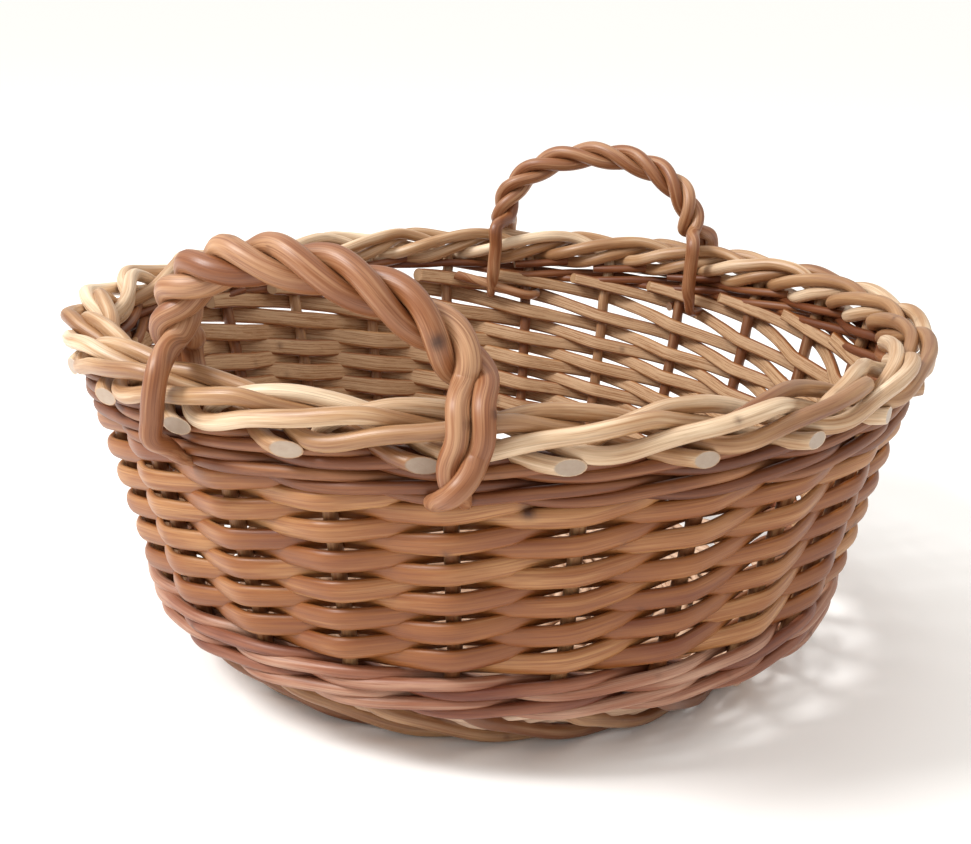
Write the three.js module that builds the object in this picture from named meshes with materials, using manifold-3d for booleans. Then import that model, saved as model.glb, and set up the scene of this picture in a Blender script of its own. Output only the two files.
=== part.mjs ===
// Round willow basket with two roped handles, every rod its own solid.
// Millimetres, +Z up. The origin lies on the floor under the middle of the basket.
//
// The wall is described in basket coordinates: a turn counted in stake spacings, growing anticlockwise
// seen from above, a distance outward from the stakes' axes, and a height above the floor.

import * as THREE from 'three';
import { mergeVertices } from 'three/addons/utils/BufferGeometryUtils.js';
import Module from 'manifold-3d';

const wasm = await Module();
wasm.setup();

// Overall sizes
const basketHeight = 167;
const rimDiameter = 400;
const shoulderDiameter = 331;
const footDiameter = 264;
const footHeight = 31;
const clearance = 0.3;

// Corners of a stake's and a handle strand's outline
const rodSides = 5;

// Stakes
const stakeCount = 24;
const firstStakeAngle = -80;
const stakeDiameter = 6;

// Wale rods under the wall, three rods that each go round twice
const upsettRodThickness = 5;
const upsettRodHeight = 4;
const upsettRounds = 2;
const upsettTail = 0.2;

// Wall weavers, one for each stake, that rise one row at every stake and share the height of the wall
const weaverThickness = 5;
const weaverStrokes = 11;
const weaverTail = 0.3;

// Thin wale under the border, one rod that goes round three times
const topWaleRodThickness = 4.4;
const topWaleRodHeight = 3.5;
const topWaleRounds = 3;
const handleGap = 5;

// Border
const laneClearance = 0.9;
const layerClearance = 0.6;

// Base
const baseStickCount = 8;
const baseStickDiameter = 5;
const baseWeaveThickness = 4.5;
const baseStickSides = 6;
const baseEyeDiameter = 36;
const baseEdgeRound = 1.3;
const baseWaveDepth = 3;
const baseWaveGrowth = 22;
const baseWaveSteps = 4;

// Handles, each a rope of three strands
const strands = 3;
const frontHandleAngle = -110;
const backHandleAngle = 72;
const handleSpread = 35;
const handleRise = 45;
const frontHandleLean = 16;
const frontStrandDiameter = 8.8;
const backStrandDiameter = 7;
const frontLegDiameter = 7.6;
const backLegDiameter = 6.6;
const strandTailDiameter = 4.4;
const tailDepth = 4;
const tailGap = 1;
const legBow = 2.5;
const frontThirdTurns = 7.5;
const backThirdTurns = 8;

// Waling runs in front of two stakes and behind one.
const waleRods = 3;

const spacing = (2 * Math.PI) / stakeCount;
const laneWidth = stakeDiameter + laneClearance;
const layerHeight = stakeDiameter + layerClearance;

// The foot stroke of a rod, from its butt end up to the stake: turns past the stake, share of the foot's
// height, and how far inward it lies in rod diameters. It rests on the floor inside the next stakes.
const footStroke = [
  [2.15, 0, 0.9],
  [1.85, 0, 0.6],
  [1.6, 0, 0.3],
  [1.3, 0.06, 0],
  [1.0, 0.2, 0],
  [0.5, 0.55, 0],
  [0.18, 0.83, 0],
];

// The border rod's path after the stake: turn, lane outward and layer upward. It goes behind one stake,
// in front of two, behind one more and ends in a cut tip outside.
const overThirdStake = [2.95, 1.12, 1.35];
const cutTip = [4.8, 1.52, -0.57];
const borderPath = [
  [0.0, 0.0, 0.3],
  [0.02, 0.0, 1.2],
  [0.12, -0.03, 1.86],
  [0.28, -0.12, 2.08],
  [0.5, -0.45, 2.1],
  [0.75, -0.95, 1.95],
  [1.0, -1.42, 1.6],
  [1.25, -1.75, 0.85],
  [1.45, -1.3, 0.1],
  [1.6, -0.6, -0.15],
  [1.75, 0.05, -0.2],
  [1.9, 0.74, -0.12],
  [2.1, 1.18, 0.0],
  [2.5, 1.2, 0.75],
  overThirdStake,
  [3.25, 0.95, 1.75],
  [3.45, 0.6, 1.78],
  [3.6, 0.2, 1.42],
  [3.78, -0.4, 0.98],
  [4.0, -0.98, 0.58],
  [4.25, -0.75, 0.02],
  [4.5, 0.3, -0.3],
  [4.68, 1.12, -0.47],
  cutTip,
];
const [, outerLane, outerLayer] = overThirdStake;
const innerLane = Math.min(...borderPath.map(([, lane]) => lane));
const topLayer = Math.max(...borderPath.map(([, , layer]) => layer));
const [, , tipLayer] = cutTip;

// Heights: the foot and the upsett stand on the floor, the border and the top wale hang from the rim, and
// the weavers fill what is between them.
const upsettRise = (upsettRodHeight + clearance) / 2;
const upsettPitch = 2 * upsettRise + upsettRodHeight + clearance;
const upsettTop = footHeight + upsettRounds * upsettPitch;
const borderLow = basketHeight - topLayer * layerHeight - stakeDiameter / 2;
const borderBottom = borderLow + tipLayer * layerHeight - stakeDiameter / 2;
const rimHeight = borderLow + outerLayer * layerHeight;
const topWalePitch = topWaleRodHeight + clearance;
const topWaleTop = borderBottom - clearance;
const topWaleBottom = topWaleTop - topWaleRounds * topWalePitch;
const weaveTop = topWaleBottom - handleGap;
const weaverPitch = (weaveTop - upsettTop - clearance) / (weaverStrokes + 2 * weaverTail);
const weaverHeight = weaverPitch - clearance;

// Radii of the stakes' axes
const shoulderRadius = shoulderDiameter / 2 - upsettRodThickness - clearance - stakeDiameter / 2;
const rimRadius = rimDiameter / 2 - outerLane * laneWidth - stakeDiameter / 2;
const footRadius = footDiameter / 2 - stakeDiameter / 2;

function axisRadius(height) {
  const along = (height - footHeight) / (rimHeight - footHeight);
  return shoulderRadius + along * (rimRadius - shoulderRadius);
}

function onCylinder(angle, radius, height) {
  return new THREE.Vector3(radius * Math.cos(angle), radius * Math.sin(angle), height);
}

function stakeAngle(turn) {
  return THREE.MathUtils.degToRad(firstStakeAngle) + turn * spacing;
}

function onWall(turn, outward, height) {
  return onCylinder(stakeAngle(turn), axisRadius(height) + outward, height);
}

// A closed body through rings of corners that all have the same count.
function loft(rings) {
  const sides = rings[0].length;
  const last = (rings.length - 1) * sides;
  const faces = [];
  for (let i = 0; i < rings.length - 1; i += 1) {
    for (let j = 0; j < sides; j += 1) {
      const a = i * sides + j;
      const b = i * sides + ((j + 1) % sides);
      faces.push(a, b, b + sides, a, b + sides, a + sides);
    }
  }
  for (let j = 1; j < sides - 1; j += 1) {
    faces.push(0, j + 1, j);
    faces.push(last, last + j, last + j + 1);
  }
  const corners = rings.flat();
  if (signedVolume(corners, faces) < 0) {
    faces.reverse();
  }
  const geometry = new THREE.BufferGeometry().setFromPoints(corners);
  geometry.setIndex(faces);
  const flat = geometry.toNonIndexed();
  flat.computeVertexNormals();
  return flat;
}

function signedVolume(corners, faces) {
  let volume = 0;
  for (let i = 0; i < faces.length; i += 3) {
    const [a, b, c] = [0, 1, 2].map((k) => corners[faces[i + k]]);
    volume += a.dot(new THREE.Vector3().crossVectors(b, c)) / 6;
  }
  return volume;
}

// A round rod through points, with a diameter at each point. It starts level, with a flat side down
// where its count of sides is odd.
function rod(points, diameters, sides) {
  const tangents = points.map((point, i) => {
    const before = points[Math.max(i - 1, 0)];
    const after = points[Math.min(i + 1, points.length - 1)];
    const arriving = new THREE.Vector3().subVectors(point, before).normalize();
    const leaving = new THREE.Vector3().subVectors(after, point).normalize();
    return arriving.add(leaving).normalize();
  });
  const normal = new THREE.Vector3(0, 0, 1);
  const rings = points.map((point, i) => {
    normal.addScaledVector(tangents[i], -normal.dot(tangents[i])).normalize();
    const binormal = new THREE.Vector3().crossVectors(tangents[i], normal);
    return Array.from({ length: sides }, (_, j) => {
      const angle = (j / sides) * 2 * Math.PI;
      return point
        .clone()
        .addScaledVector(normal, (diameters[i] / 2) * Math.cos(angle))
        .addScaledVector(binormal, (diameters[i] / 2) * Math.sin(angle));
    });
  });
  return loft(rings);
}

// A rod woven into the wall: upright sections of one outline at stations of turn, outward and height.
function woven(stations, outline, thickness, rodHeight) {
  return loft(
    stations.map(([turn, outward, height]) =>
      outline.map(([across, up]) => onWall(turn, outward + across * thickness, height + up * rodHeight)),
    ),
  );
}

// A split rod is flat inside and round outside, a whole rod is round.
const splitOutline = [
  [-0.5, -0.5],
  [0.2, -0.5],
  [0.5, 0],
  [0.2, 0.5],
  [-0.5, 0.5],
];
const roundOutline = [
  [-0.5, 0],
  [-0.25, -0.5],
  [0.25, -0.5],
  [0.5, 0],
  [0.25, 0.5],
  [-0.25, 0.5],
];

// How far the middle of a straight chord over so many turns falls inside the round wall.
function chordSag(turns) {
  return rimRadius * (1 - Math.cos((turns * spacing) / 2));
}

const basket = new THREE.Group();

function addPiece(name, geometry, color, roughness) {
  const material = new THREE.MeshStandardMaterial({ color, roughness, metalness: 0 });
  const mesh = new THREE.Mesh(geometry, material);
  mesh.name = name;
  basket.add(mesh);
}

const paleWillow = '#c2a181';
const tanWillow = '#a1714d';
const pinkWillow = '#a87a60';
const brownWillow = '#8a5f40';

// Stakes: each is one rod that makes a stroke of the foot, an upright and a stroke of the border.
const footSlope = (shoulderRadius - footRadius) / (footHeight - stakeDiameter);

function footPoint(turn, height, inward) {
  const radius = footRadius + (height - stakeDiameter / 2) * footSlope - inward;
  return onCylinder(stakeAngle(turn), radius, height);
}

function stakeGeometry(stake) {
  const floorRun = (stakeDiameter / 2) * Math.cos(Math.PI / rodSides);
  const foot = footStroke.map(([turn, share, inward]) => {
    return footPoint(stake + turn, floorRun + share * (footHeight - floorRun), inward * stakeDiameter);
  });
  const upright = [onWall(stake, 0, footHeight + stakeDiameter / 2)];
  const border = borderPath.map(([turn, lane, layer]) => {
    return onWall(stake + turn, lane * laneWidth, borderLow + layer * layerHeight);
  });
  const points = [...foot, ...upright, ...border];
  return rod(points, points.map(() => stakeDiameter), rodSides);
}

for (let stake = 0; stake < stakeCount; stake += 1) {
  const name = `stake_${String(stake + 1).padStart(2, '0')}`;
  addPiece(name, stakeGeometry(stake), paleWillow, 0.6);
}

// The upsett: three rods pass in front of two stakes and behind one, each a stake later than the one
// before. A stroke comes out low, rises over the next one's start and goes in high, then sinks while it is
// behind its stake. Turn from the stake behind, outward, upward.
const upsettStroke = [
  [0, -1, 0],
  [0.25, -0.5, -1],
  [1, 1, -1],
  [1.25, 1, -1],
  [1.75, 1, 1],
  [2, 1, 1],
  [2.75, -0.5, 1],
];
const seamStake = stakeCount / 2;

// Each rod starts and ends behind a stake near the seam. All climb to their next round in the spacing
// before it.
function upsettGeometry(row) {
  const out = (stakeDiameter + upsettRodThickness) / 2 + clearance;
  const climbTurns = 1;
  const first = waleRods - row;
  const strokes = Math.floor((upsettRounds * stakeCount - climbTurns - first) / waleRods);
  const last = first + strokes * waleRods;
  const stations = [[first - upsettTail, -1, 0]];
  for (let start = first; start < last; start += waleRods) {
    stations.push(...upsettStroke.map(([turn, side, rise]) => [start + turn, side, rise]));
  }
  stations.push([last, -1, 0], [last + upsettTail, -1, 0]);
  return woven(
    stations.map(([turn, side, rise]) => [seamStake + turn, out * side, heightAt(turn, rise)]),
    roundOutline,
    upsettRodThickness,
    upsettRodHeight,
  );

  function heightAt(turn, rise) {
    const climbed = THREE.MathUtils.clamp((turn - stakeCount) / climbTurns + 1, 0, 1);
    return footHeight + (0.5 + climbed) * upsettPitch + rise * upsettRise;
  }
}

for (let row = 0; row < waleRods; row += 1) {
  addPiece(`upsett_wale_rod_${row + 1}`, upsettGeometry(row), pinkWillow, 0.65);
}

// The top wale: one thin rod keeps its row for a round, then climbs to its next row in the spacing round
// the seam stake.
function topWaleGeometry() {
  const out = (stakeDiameter + topWaleRodThickness) / 2 + clearance;
  const climb = 0.5;
  const endGap = 0.1;
  const lastStake = topWaleRounds * stakeCount;
  const start = climb + endGap;
  const end = lastStake - climb - endGap;
  const turns = [start];
  for (let stake = 1; stake < lastStake; stake += 1) {
    const isSeam = stake % stakeCount === 0;
    turns.push(...(isSeam ? [stake - climb, stake, stake + climb] : [stake]));
  }
  turns.push(end);
  return woven(
    turns.map((turn) => [seamStake + turn, sideAt(turn), heightAt(turn)]),
    roundOutline,
    topWaleRodThickness,
    topWaleRodHeight,
  );

  function sideAt(turn) {
    const before = Math.floor(turn);
    const sides = [before, before + 1].map((stake) => {
      const isBehind = (stake + Math.round(stake / stakeCount)) % waleRods === 0;
      return isBehind ? -out : out;
    });
    return THREE.MathUtils.lerp(sides[0], sides[1], turn - before);
  }

  function heightAt(turn) {
    const round = Math.round(turn / stakeCount);
    const climbed = THREE.MathUtils.clamp(turn - round * stakeCount + climb, 0, 2 * climb);
    const rounds = THREE.MathUtils.clamp(round - 1 + climbed, 0, topWaleRounds - 1);
    return topWaleBottom + (rounds + 0.5) * topWalePitch;
  }
}

addPiece('top_wale_rod', topWaleGeometry(), brownWillow, 0.6);

// Wall weavers: behind one stake and in front of the next, one row higher at every stake. Both ends lie
// inside the wall.
function weaverGeometry(stake) {
  const flat = 0.27;
  const bottom = upsettTop + clearance;
  const behind = (stakeDiameter + weaverThickness) / 2 + clearance;
  const front = behind + chordSag(2 * flat);
  const heightAt = (turn) => bottom + (turn + weaverTail + 0.5) * weaverPitch;
  const tuck = -behind * 0.8;
  const stations = [[-weaverTail, tuck, heightAt(-weaverTail)]];
  for (let stroke = 0; stroke < weaverStrokes; stroke += 1) {
    const outward = stroke % 2 === 0 ? -behind : front;
    stations.push([stroke - flat, outward, heightAt(stroke - flat)]);
    stations.push([stroke + flat, outward, heightAt(stroke + flat)]);
  }
  const end = weaverStrokes - 1 + weaverTail;
  stations.push([end, tuck, heightAt(end)]);
  const placed = stations.map(([turn, outward, height]) => [stake + turn, outward, height]);
  return woven(placed, splitOutline, weaverThickness, weaverHeight);
}

for (let stake = 0; stake < stakeCount; stake += 1) {
  const name = `weaver_${String(stake + 1).padStart(2, '0')}`;
  addPiece(name, weaverGeometry(stake), tanWillow, 0.55);
}

// Base: crossed sticks that lie on the feet of the stakes, and the round weave on them. The weave rises
// over every stick and sinks between two, to its full depth where the sticks have spread apart.
const baseRadius = footRadius - stakeDiameter * 0.5;
const baseStickHeight = stakeDiameter + clearance + baseStickDiameter / 2;

function toSolid(geometry) {
  const bare = geometry.clone();
  bare.deleteAttribute('normal');
  bare.deleteAttribute('uv');
  const merged = mergeVertices(bare, 1e-4);
  const vertProperties = new Float32Array(merged.attributes.position.array);
  const triVerts = new Uint32Array(merged.index.array);
  return new wasm.Manifold(new wasm.Mesh({ numProp: 3, vertProperties, triVerts }));
}

function fromSolid(solid) {
  const mesh = solid.getMesh();
  const geometry = new THREE.BufferGeometry();
  geometry.setAttribute('position', new THREE.BufferAttribute(new Float32Array(mesh.vertProperties), 3));
  geometry.setIndex(new THREE.BufferAttribute(new Uint32Array(mesh.triVerts), 1));
  const flat = geometry.toNonIndexed();
  flat.computeVertexNormals();
  return flat;
}

function baseSticks() {
  let cross = null;
  for (let stick = 0; stick < baseStickCount; stick += 1) {
    const angle = (stick / baseStickCount) * Math.PI;
    const ends = [angle, angle + Math.PI].map((side) => onCylinder(side, baseRadius, baseStickHeight));
    const solid = toSolid(rod(ends, [baseStickDiameter, baseStickDiameter], baseStickSides));
    cross = cross ? cross.add(solid) : solid;
  }
  return fromSolid(cross);
}

function baseWeave() {
  const bottom = baseStickHeight + baseStickDiameter / 2 + clearance;
  const top = bottom + baseWeaveThickness;
  const eye = baseEyeDiameter / 2;
  const round = baseEdgeRound;
  const outline = [
    [eye, bottom],
    [eye + baseWaveGrowth, bottom],
    [baseRadius - round, bottom],
    [baseRadius, bottom + round],
    [baseRadius, top - round],
    [baseRadius - round, top],
    [eye + baseWaveGrowth, top],
    [eye, top],
    [eye, bottom],
  ].map(([radius, height]) => new THREE.Vector2(radius, height));
  const disc = new THREE.LatheGeometry(outline, 2 * baseStickCount * baseWaveSteps);
  disc.rotateX(Math.PI / 2);
  const places = disc.attributes.position;
  for (let i = 0; i < places.count; i += 1) {
    const [x, y, z] = [places.getX(i), places.getY(i), places.getZ(i)];
    const depth = baseWaveDepth * Math.min((Math.hypot(x, y) - eye) / baseWaveGrowth, 1);
    places.setZ(i, z - depth * Math.sin(baseStickCount * Math.atan2(y, x)) ** 2);
  }
  disc.computeVertexNormals();
  return disc;
}

addPiece('base_sticks', baseSticks(), brownWillow, 0.7);
addPiece('base_weave', baseWeave(), tanWillow, 0.7);

// Handles: three strands laid as a rope over an arch. Under the rope each strand goes down outside or
// inside the border, and its thin tail passes through the wall below the top wale.
const ropeSteps = 24;
const taperSteps = 2;
const crossingSteps = 6;
const crossingStart = 0.2;
const borderOutside = rimRadius + outerLane * laneWidth + stakeDiameter / 2;
const borderInside = rimRadius + innerLane * laneWidth - stakeDiameter / 2;
const ropeRadius = (borderOutside + borderInside) / 2;
const halfSpan = THREE.MathUtils.degToRad(handleSpread / 2) * ropeRadius;
const tuckHeight = weaveTop + handleGap / 2;
const besideStake = (stakeDiameter + strandTailDiameter) / 2 + tailGap;

// The arch is half an ellipse over the border. It leans to one side, a little more at the top than at its
// feet, which stand a little above the border.
function archPoint(handle, along) {
  const footLean = 0.6;
  const footRise = 1.2;
  const sweep = along * Math.PI;
  const foot = basketHeight + handle.strand * footRise;
  const leaning = footLean + (1 - footLean) * Math.sin(sweep);
  const across = -halfSpan * Math.cos(sweep) - handle.lean * leaning;
  return new THREE.Vector2(across, foot + (basketHeight + handleRise - foot) * Math.sin(sweep));
}

function strandPhase(handle, strand, along) {
  const third = (2 * Math.PI) / strands;
  return handle.phase + third * (strand - handle.thirdTurns * along);
}

// The distance of the strands from the middle of the rope, so wide that neighbours, which wind round each
// other over one pitch, clear each other at their nearest points and between the points of the solid.
function ropeReach(handle) {
  let length = 0;
  for (let step = 0; step < ropeSteps; step += 1) {
    length += archPoint(handle, step / ropeSteps).distanceTo(archPoint(handle, (step + 1) / ropeSteps));
  }
  const pitch = (length * strands) / handle.thirdTurns;
  const third = (2 * Math.PI) / strands;
  const chord = Math.cos((Math.PI * handle.thirdTurns) / (strands * ropeSteps));
  const needed = (handle.strand + 3 * clearance) / chord;
  let reach = needed / Math.sqrt(3);
  while (nearest(reach) < needed) {
    reach += 0.02;
  }
  return reach;

  function nearest(radius) {
    let least = Infinity;
    for (let shift = 0; shift < pitch / strands; shift += 0.1) {
      const angle = third - (2 * Math.PI * shift) / pitch;
      least = Math.min(least, Math.hypot(2 * radius * Math.sin(angle / 2), shift));
    }
    return least;
  }
}

function ropePoint(handle, strand, along) {
  const step = 1e-3;
  const ahead = archPoint(handle, along + step);
  const tangent = ahead.sub(archPoint(handle, along - step)).normalize();
  const phase = strandPhase(handle, strand, along);
  const point = archPoint(handle, along);
  const across = point.x - tangent.y * handle.reach * Math.sin(phase);
  const height = point.y + tangent.x * handle.reach * Math.sin(phase);
  const radius = ropeRadius + handle.reach * Math.cos(phase);
  return onCylinder(handle.angle + across / ropeRadius, radius, height);
}

// The points of one leg from the rope down to its tail, with the diameter at each. Two strands that go
// down on the same side of the border cross on their way, one over the other.
function legPoints(handle, strand, along) {
  const phase = strandPhase(handle, strand, along);
  const away = along === 0 ? -1 : 1;
  const side = Math.cos(phase) > 0 ? 1 : -1;
  const isPair = Math.abs(Math.sin(phase)) > 0.5;
  const facing = isPair ? away * Math.sign(Math.sin(phase)) : 0;
  const isOver = side * facing > 0;
  const legAngle = handle.angle + (away * halfSpan) / ropeRadius;
  const stake = stakeAngle(Math.round((legAngle - stakeAngle(0)) / spacing));
  const single = handle.hook * away * (besideStake + strandTailDiameter + tailGap);
  const tuckAngle = stake + (isPair ? 0 : single / ropeRadius);

  const gap = handle.leg / 2 + clearance;
  const border = (side > 0 ? borderOutside : borderInside) + side * gap;
  const bowed = border + side * (clearance + (side > 0 ? legBow : 0));
  const wall = axisRadius(tuckHeight);
  const wale = wall + side * ((stakeDiameter + strandTailDiameter) / 2 + weaverThickness);
  const top = basketHeight - handle.leg;
  const bottom = tuckHeight + tailGap;
  const pairGap = gap / Math.cos(Math.PI / (2 * crossingSteps * (1 - crossingStart)));
  const overBorder = basketHeight + gap * 0.6;
  const stations = [place(0, border - side * gap * 0.1, overBorder, pairGap, handle.leg)];
  for (let step = 0; step <= crossingSteps; step += 1) {
    const down = step / crossingSteps;
    const height = THREE.MathUtils.lerp(top, bottom, down);
    const below = Math.max((borderBottom - height) / (borderBottom - bottom), 0);
    const radius = THREE.MathUtils.lerp(bowed, wale, below);
    const halfGap = THREE.MathUtils.lerp(pairGap, besideStake, below);
    const diameter = THREE.MathUtils.lerp(handle.leg, strandTailDiameter, below);
    stations.push(place(down, radius, height, halfGap, diameter));
  }
  stations.push(place(1, wall + side * tailDepth, tuckHeight, besideStake, strandTailDiameter));
  stations.push(place(1, wall - side * tailDepth, tuckHeight, besideStake, strandTailDiameter));
  return stations;

  // Share of the way down and across, radius, height, half the distance between a pair, and diameter.
  function place(down, radius, height, halfGap, diameter) {
    const angle = THREE.MathUtils.lerp(legAngle, tuckAngle, down);
    const crossed = Math.PI * THREE.MathUtils.clamp((down - crossingStart) / (1 - crossingStart), 0, 1);
    const shift = facing * halfGap * Math.cos(crossed);
    const over = isOver ? side * 2 * halfGap * Math.sin(crossed) : 0;
    return [onCylinder(angle + shift / radius, radius + over, height), diameter];
  }
}

function strandGeometry(handle, strand) {
  const rope = [];
  for (let step = 0; step <= ropeSteps; step += 1) {
    const fromEnd = Math.min(step, ropeSteps - step, taperSteps) / taperSteps;
    const diameter = THREE.MathUtils.lerp(handle.leg, handle.strand, fromEnd);
    rope.push([ropePoint(handle, strand, step / ropeSteps), diameter]);
  }
  const left = legPoints(handle, strand, 0).reverse();
  const right = legPoints(handle, strand, 1);
  const path = [...left, ...rope, ...right];
  return rod(
    path.map(([point]) => point),
    path.map(([, diameter]) => diameter),
    rodSides,
  );
}

const handles = [
  {
    name: 'front_handle',
    angle: THREE.MathUtils.degToRad(frontHandleAngle),
    lean: frontHandleLean,
    strand: frontStrandDiameter,
    leg: frontLegDiameter,
    phase: 0,
    thirdTurns: frontThirdTurns,
    hook: -1,
  },
  {
    name: 'back_handle',
    angle: THREE.MathUtils.degToRad(backHandleAngle),
    lean: 0,
    strand: backStrandDiameter,
    leg: backLegDiameter,
    phase: Math.PI,
    thirdTurns: backThirdTurns,
    hook: 1,
  },
];
for (const handle of handles) {
  handle.reach = ropeReach(handle);
  for (let strand = 0; strand < strands; strand += 1) {
    addPiece(`${handle.name}_strand_${strand + 1}`, strandGeometry(handle, strand), brownWillow, 0.5);
  }
}

export default basket;
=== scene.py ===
# %% [markdown]
# # A round willow basket with two roped handles
#
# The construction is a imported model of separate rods. This file dresses it: every rod is made again as a
# smooth, slightly uneven willow rod with its own streaks, scars, cut ends and split faces. The rods follow
# the model's courses, and leave them a little where the picture shows it, as in the handles. They are woven
# more finely where the model is plain, as in the base and the top wale. The frame comes first, because every
# piece is placed by it and rides on it.

import bpy
import numpy as np
from mathutils import Matrix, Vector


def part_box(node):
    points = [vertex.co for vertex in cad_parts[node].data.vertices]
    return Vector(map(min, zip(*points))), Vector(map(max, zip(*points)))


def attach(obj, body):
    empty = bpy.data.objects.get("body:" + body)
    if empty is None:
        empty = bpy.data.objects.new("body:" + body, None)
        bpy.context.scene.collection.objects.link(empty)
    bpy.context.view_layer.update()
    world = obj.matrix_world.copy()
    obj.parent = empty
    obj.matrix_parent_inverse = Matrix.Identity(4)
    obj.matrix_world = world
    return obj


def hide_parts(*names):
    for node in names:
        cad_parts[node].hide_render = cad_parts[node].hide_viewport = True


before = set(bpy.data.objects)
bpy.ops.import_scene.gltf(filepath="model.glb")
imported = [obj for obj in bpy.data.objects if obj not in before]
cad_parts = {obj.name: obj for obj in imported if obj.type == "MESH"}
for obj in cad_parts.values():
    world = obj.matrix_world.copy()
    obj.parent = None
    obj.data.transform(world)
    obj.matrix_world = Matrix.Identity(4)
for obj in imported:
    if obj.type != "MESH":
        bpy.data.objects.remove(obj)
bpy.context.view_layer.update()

MM = 0.001


# %% [markdown]
# ## Camera
#
# The picture was taken from a little above, with a moderate lens and a slight roll. A camera model fitted
# to the basket's outline gave the distance, height and lens, so the camera is set from those real values.
# The shift only frames the basket as in the picture.

# %% Camera values
PICTURE_WIDTH = 971
FOCAL_PIXELS = 1434.5
VIEW_DISTANCE = 0.7052
VIEW_ELEVATION = np.radians(18.564)
VIEW_ROLL = np.radians(1.405)
AIM_HEIGHT = 0.0825
SENSOR = 36.0
SHIFT_RIGHT = -0.0105
SHIFT_UP = 0.0404
FAR_CLIP = 200
print("Lens in millimetres:", round(SENSOR * FOCAL_PIXELS / PICTURE_WIDTH, 1))


# %% Camera
def look_at(position, target, roll):
    """Camera matrix: the view axis runs from position to target, and the picture turns by roll about it."""
    forward = (target - position) / np.linalg.norm(target - position)
    right = np.cross(forward, (0, 0, 1))
    right /= np.linalg.norm(right)
    up = np.cross(right, forward)
    turned_right = np.cos(roll) * right + np.sin(roll) * up
    turned_up = np.cos(roll) * up - np.sin(roll) * right
    matrix = np.eye(4)
    matrix[:3, 0] = turned_right
    matrix[:3, 1] = turned_up
    matrix[:3, 2] = -forward
    matrix[:3, 3] = position
    return Matrix(matrix)


middle_of_basket = np.array([0, 0, AIM_HEIGHT])
towards_camera = np.array([0, -np.cos(VIEW_ELEVATION), np.sin(VIEW_ELEVATION)])
camera_place = middle_of_basket + towards_camera * VIEW_DISTANCE
camera_data = bpy.data.cameras.new("photo_camera")
camera_data.sensor_width = SENSOR
camera_data.lens = SENSOR * FOCAL_PIXELS / PICTURE_WIDTH
camera_data.shift_x = SHIFT_RIGHT
camera_data.shift_y = SHIFT_UP
camera_data.clip_end = FAR_CLIP
camera = bpy.data.objects.new("photo_camera", camera_data)
camera.matrix_world = look_at(camera_place, middle_of_basket, VIEW_ROLL)
bpy.context.scene.collection.objects.link(camera)
bpy.context.scene.camera = camera
print("Camera stands at", [round(v, 3) for v in camera.matrix_world.translation])


# %% [markdown]
# ## Nodes and colours
#
# Shaders are small networks. One function adds a node with its settings and links, and another turns the hex
# colours that people pick into the linear values that light is computed with.

# %% Nodes and colours
def linear(hex_colour):
    """sRGB hex to linear RGBA: a channel c becomes ((c + 0.055) / 1.055) ** 2.4, or c / 12.92 when dark."""
    channels = np.array([int(hex_colour[i:i + 2], 16) / 255 for i in (1, 3, 5)])
    values = np.where(channels <= 0.04045, channels / 12.92, ((channels + 0.055) / 1.055) ** 2.4)
    return (*values, 1.0)


def add(tree, kind, settings=None, sockets=None):
    """Adds a node, sets its properties, and fills its sockets with values or with links from outputs."""
    made = tree.nodes.new(kind)
    for key, value in (settings or {}).items():
        setattr(made, key, value)
    for key, value in (sockets or {}).items():
        if isinstance(value, bpy.types.NodeSocket):
            tree.links.new(value, made.inputs[key])
        else:
            made.inputs[key].default_value = value
    return made


def new_material(name):
    """An empty node material, with its output node."""
    material = bpy.data.materials.new(name)
    material.use_nodes = True
    material.node_tree.nodes.clear()
    return material, add(material.node_tree, "ShaderNodeOutputMaterial")


print("White in linear values:", linear("#ffffff"))


# %% [markdown]
# ## Studio
#
# The basket stands in a white studio. A bright surround and a white floor light it from all sides, and one
# large soft lamp, high on the left and a little in front, models the rods and reaches the inside of the
# back wall. The surround is stronger overhead, so that the undersides of the rods stay a little darker.

# %% Lamp
KEY_PLACE = np.array((-1.5, -0.5, 1.6))
KEY_SIZE = 0.6
KEY_WATTS = 42

key_data = bpy.data.lights.new("key_light", "AREA")
key_data.size = KEY_SIZE
key_data.energy = KEY_WATTS
key_light = bpy.data.objects.new("key_light", key_data)
key_light.matrix_world = look_at(KEY_PLACE, middle_of_basket, 0)
bpy.context.scene.collection.objects.link(key_light)
print("The lamp hangs", round(float(np.linalg.norm(KEY_PLACE)), 1), "m away")

# %% Surround
HORIZON_STRENGTH = 0.48
OVERHEAD_STRENGTH = 1.36

world = bpy.data.worlds.new("white_studio")
world.use_nodes = True
sky = world.node_tree
direction = add(sky, "ShaderNodeTexCoord")
split_direction = add(sky, "ShaderNodeSeparateXYZ", None, {"Vector": direction.outputs["Generated"]})
upward_share = {"Value": split_direction.outputs["Z"], "From Min": 0.0, "From Max": 1.0}
strengths = {"To Min": HORIZON_STRENGTH, "To Max": OVERHEAD_STRENGTH}
overhead = add(sky, "ShaderNodeMapRange", None, {**upward_share, **strengths})
backdrop = sky.nodes["Background"]
backdrop.inputs["Color"].default_value = linear("#fffdfa")
sky.links.new(overhead.outputs["Result"], backdrop.inputs["Strength"])
bpy.context.scene.world = world
bpy.context.scene.view_settings.view_transform = "Standard"
bpy.context.scene.view_settings.look = "None"
print("Surround strength:", HORIZON_STRENGTH, "at the horizon,", OVERHEAD_STRENGTH, "overhead")

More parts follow.
